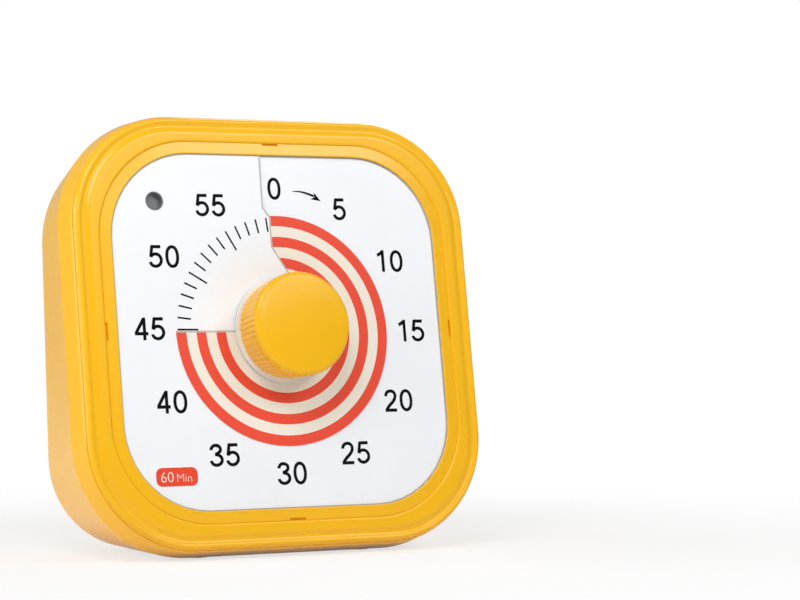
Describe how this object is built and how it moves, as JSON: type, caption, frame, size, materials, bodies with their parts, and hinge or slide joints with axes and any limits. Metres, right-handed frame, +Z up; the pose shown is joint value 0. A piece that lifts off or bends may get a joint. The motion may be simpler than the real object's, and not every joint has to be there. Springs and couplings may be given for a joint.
{
  "type": "visual countdown timer",
  "caption": "Square, round-cornered desk timer whose ribbed knob winds a striped disc out through a slit in its printed dial, with alert lamp, top button and battery case.",
  "frame": {"origin": "middle of the base: centred across the whole timer in X and Y, knob included, and Z = 0 on the undersides of the feet", "axes": "+X to the right as the dial is read, +Y from the dial towards the back, +Z up"},
  "size_m": [0.1776, 0.0816, 0.1761],
  "materials": {
    "yellow_plastic": "smooth, semi-gloss moulded ABS",
    "dial_print": "white sheet printed in black",
    "disc_print": "cream sheet printed with red rings",
    "white_plastic": "satin",
    "grey_plastic": "satin",
    "black_plastic": "fine grain",
    "gear_plastic": "smooth acetal",
    "steel": "bright zinc",
    "brass": "turned",
    "copper": "enamelled winding",
    "magnet": "dark ferrite",
    "circuit_board": "solder-resist green",
    "rubber": "soft matt",
    "lamp_grey": "smoked, semi-gloss",
    "lamp_clear": "clear resin",
    "cell_jacket": "plain jacket",
    "cone_paper": "pressed paper"
  },
  "bodies": {
    "case": {"front_shell": "yellow_plastic", "bezel_ring": "yellow_plastic", "rear_shell": "yellow_plastic", "dial_sheet": "dial_print", "dial_tray": "white_plastic", "case_screws": "steel", "rubber_feet": "rubber", "movement_front": "black_plastic", "movement_back": "black_plastic", "mounting_bush": "brass", "mounting_nut": "brass", "mounting_washer": "steel", "movement_gasket": "rubber", "stator": "steel", "coil": "copper", "movement_board": "circuit_board", "alarm_contact": "brass", "lamp_lens": "lamp_grey", "lamp_led": "lamp_clear", "lamp_board": "circuit_board", "button_switch": "black_plastic", "button_board": "circuit_board", "volume_switch": "grey_plastic", "main_board": "circuit_board", "board_screws": "steel", "speaker": "magnet", "speaker_cone": "cone_paper", "batteries": "cell_jacket", "battery_contacts": "steel", "battery_springs": "steel"},
    "knob": {"knob": "yellow_plastic", "knob_collar": "white_plastic", "spindle": "steel", "clutch_collar": "brass", "clutch_spring": "steel", "alarm_cam": "gear_plastic"},
    "disc": {"ring_disc": "disc_print", "disc_hub": "white_plastic"},
    "output_wheel": {"output_wheel": "gear_plastic"},
    "third_wheel": {"third_wheel": "gear_plastic"},
    "second_wheel": {"second_wheel": "gear_plastic"},
    "rotor": {"rotor": "magnet"},
    "top_button": {"top_button": "yellow_plastic", "button_plunger": "black_plastic"},
    "volume_slider": {"volume_slider": "black_plastic"},
    "battery_door": {"battery_door": "yellow_plastic"}
  },
  "joints": [
    {"name": "knob_turn", "type": "hinge", "parent": "case", "child": "knob", "pos_m": [0, -0.01808, 0.09022], "axis": [0, 0.986, -0.1668], "range_deg": [-270, 90]},
    {"name": "disc_climb", "type": "slide", "parent": "knob", "child": "disc", "axis": [0, -0.986, 0.1668], "range_m": [-0.00053, 0.00018]},
    {"name": "output_wheel_turn", "type": "hinge", "parent": "case", "child": "output_wheel", "pos_m": [0, -0.0092, 0.08872], "axis": [0, 0.986, -0.1668], "continuous": true},
    {"name": "third_wheel_turn", "type": "hinge", "parent": "case", "child": "third_wheel", "pos_m": [0, -0.0122, 0.07098], "axis": [0, 0.986, -0.1668], "continuous": true},
    {"name": "second_wheel_turn", "type": "hinge", "parent": "case", "child": "second_wheel", "pos_m": [0.015, -0.00925, 0.07047], "axis": [0, 0.986, -0.1668], "continuous": true},
    {"name": "rotor_turn", "type": "hinge", "parent": "case", "child": "rotor", "pos_m": [0.0191, -0.00441, 0.08109], "axis": [0, 0.986, -0.1668], "continuous": true},
    {"name": "top_button_press", "type": "slide", "parent": "case", "child": "top_button", "axis": [0, -0.3289, -0.9444], "range_m": [0, 0.0015], "stiffness_N_per_m": 400, "springref_m": -0.003},
    {"name": "volume_slide", "type": "slide", "parent": "case", "child": "volume_slider", "axis": [1, 0, 0], "range_m": [-0.003, 0.003]},
    {"name": "battery_door_open", "type": "hinge", "parent": "case", "child": "battery_door", "pos_m": [0, 0.0398, 0.02613], "axis": [-1, 0, 0], "range_deg": [0, 45]}
  ],
  "couplings": [
    {"joint": "disc_climb", "follows": "knob_turn", "m_per_rad": 0.00011141},
    {"joint": "second_wheel_turn", "follows": "rotor_turn", "ratio": -0.33333},
    {"joint": "third_wheel_turn", "follows": "rotor_turn", "ratio": 0.083333},
    {"joint": "output_wheel_turn", "follows": "rotor_turn", "ratio": -0.016667}
  ]
}
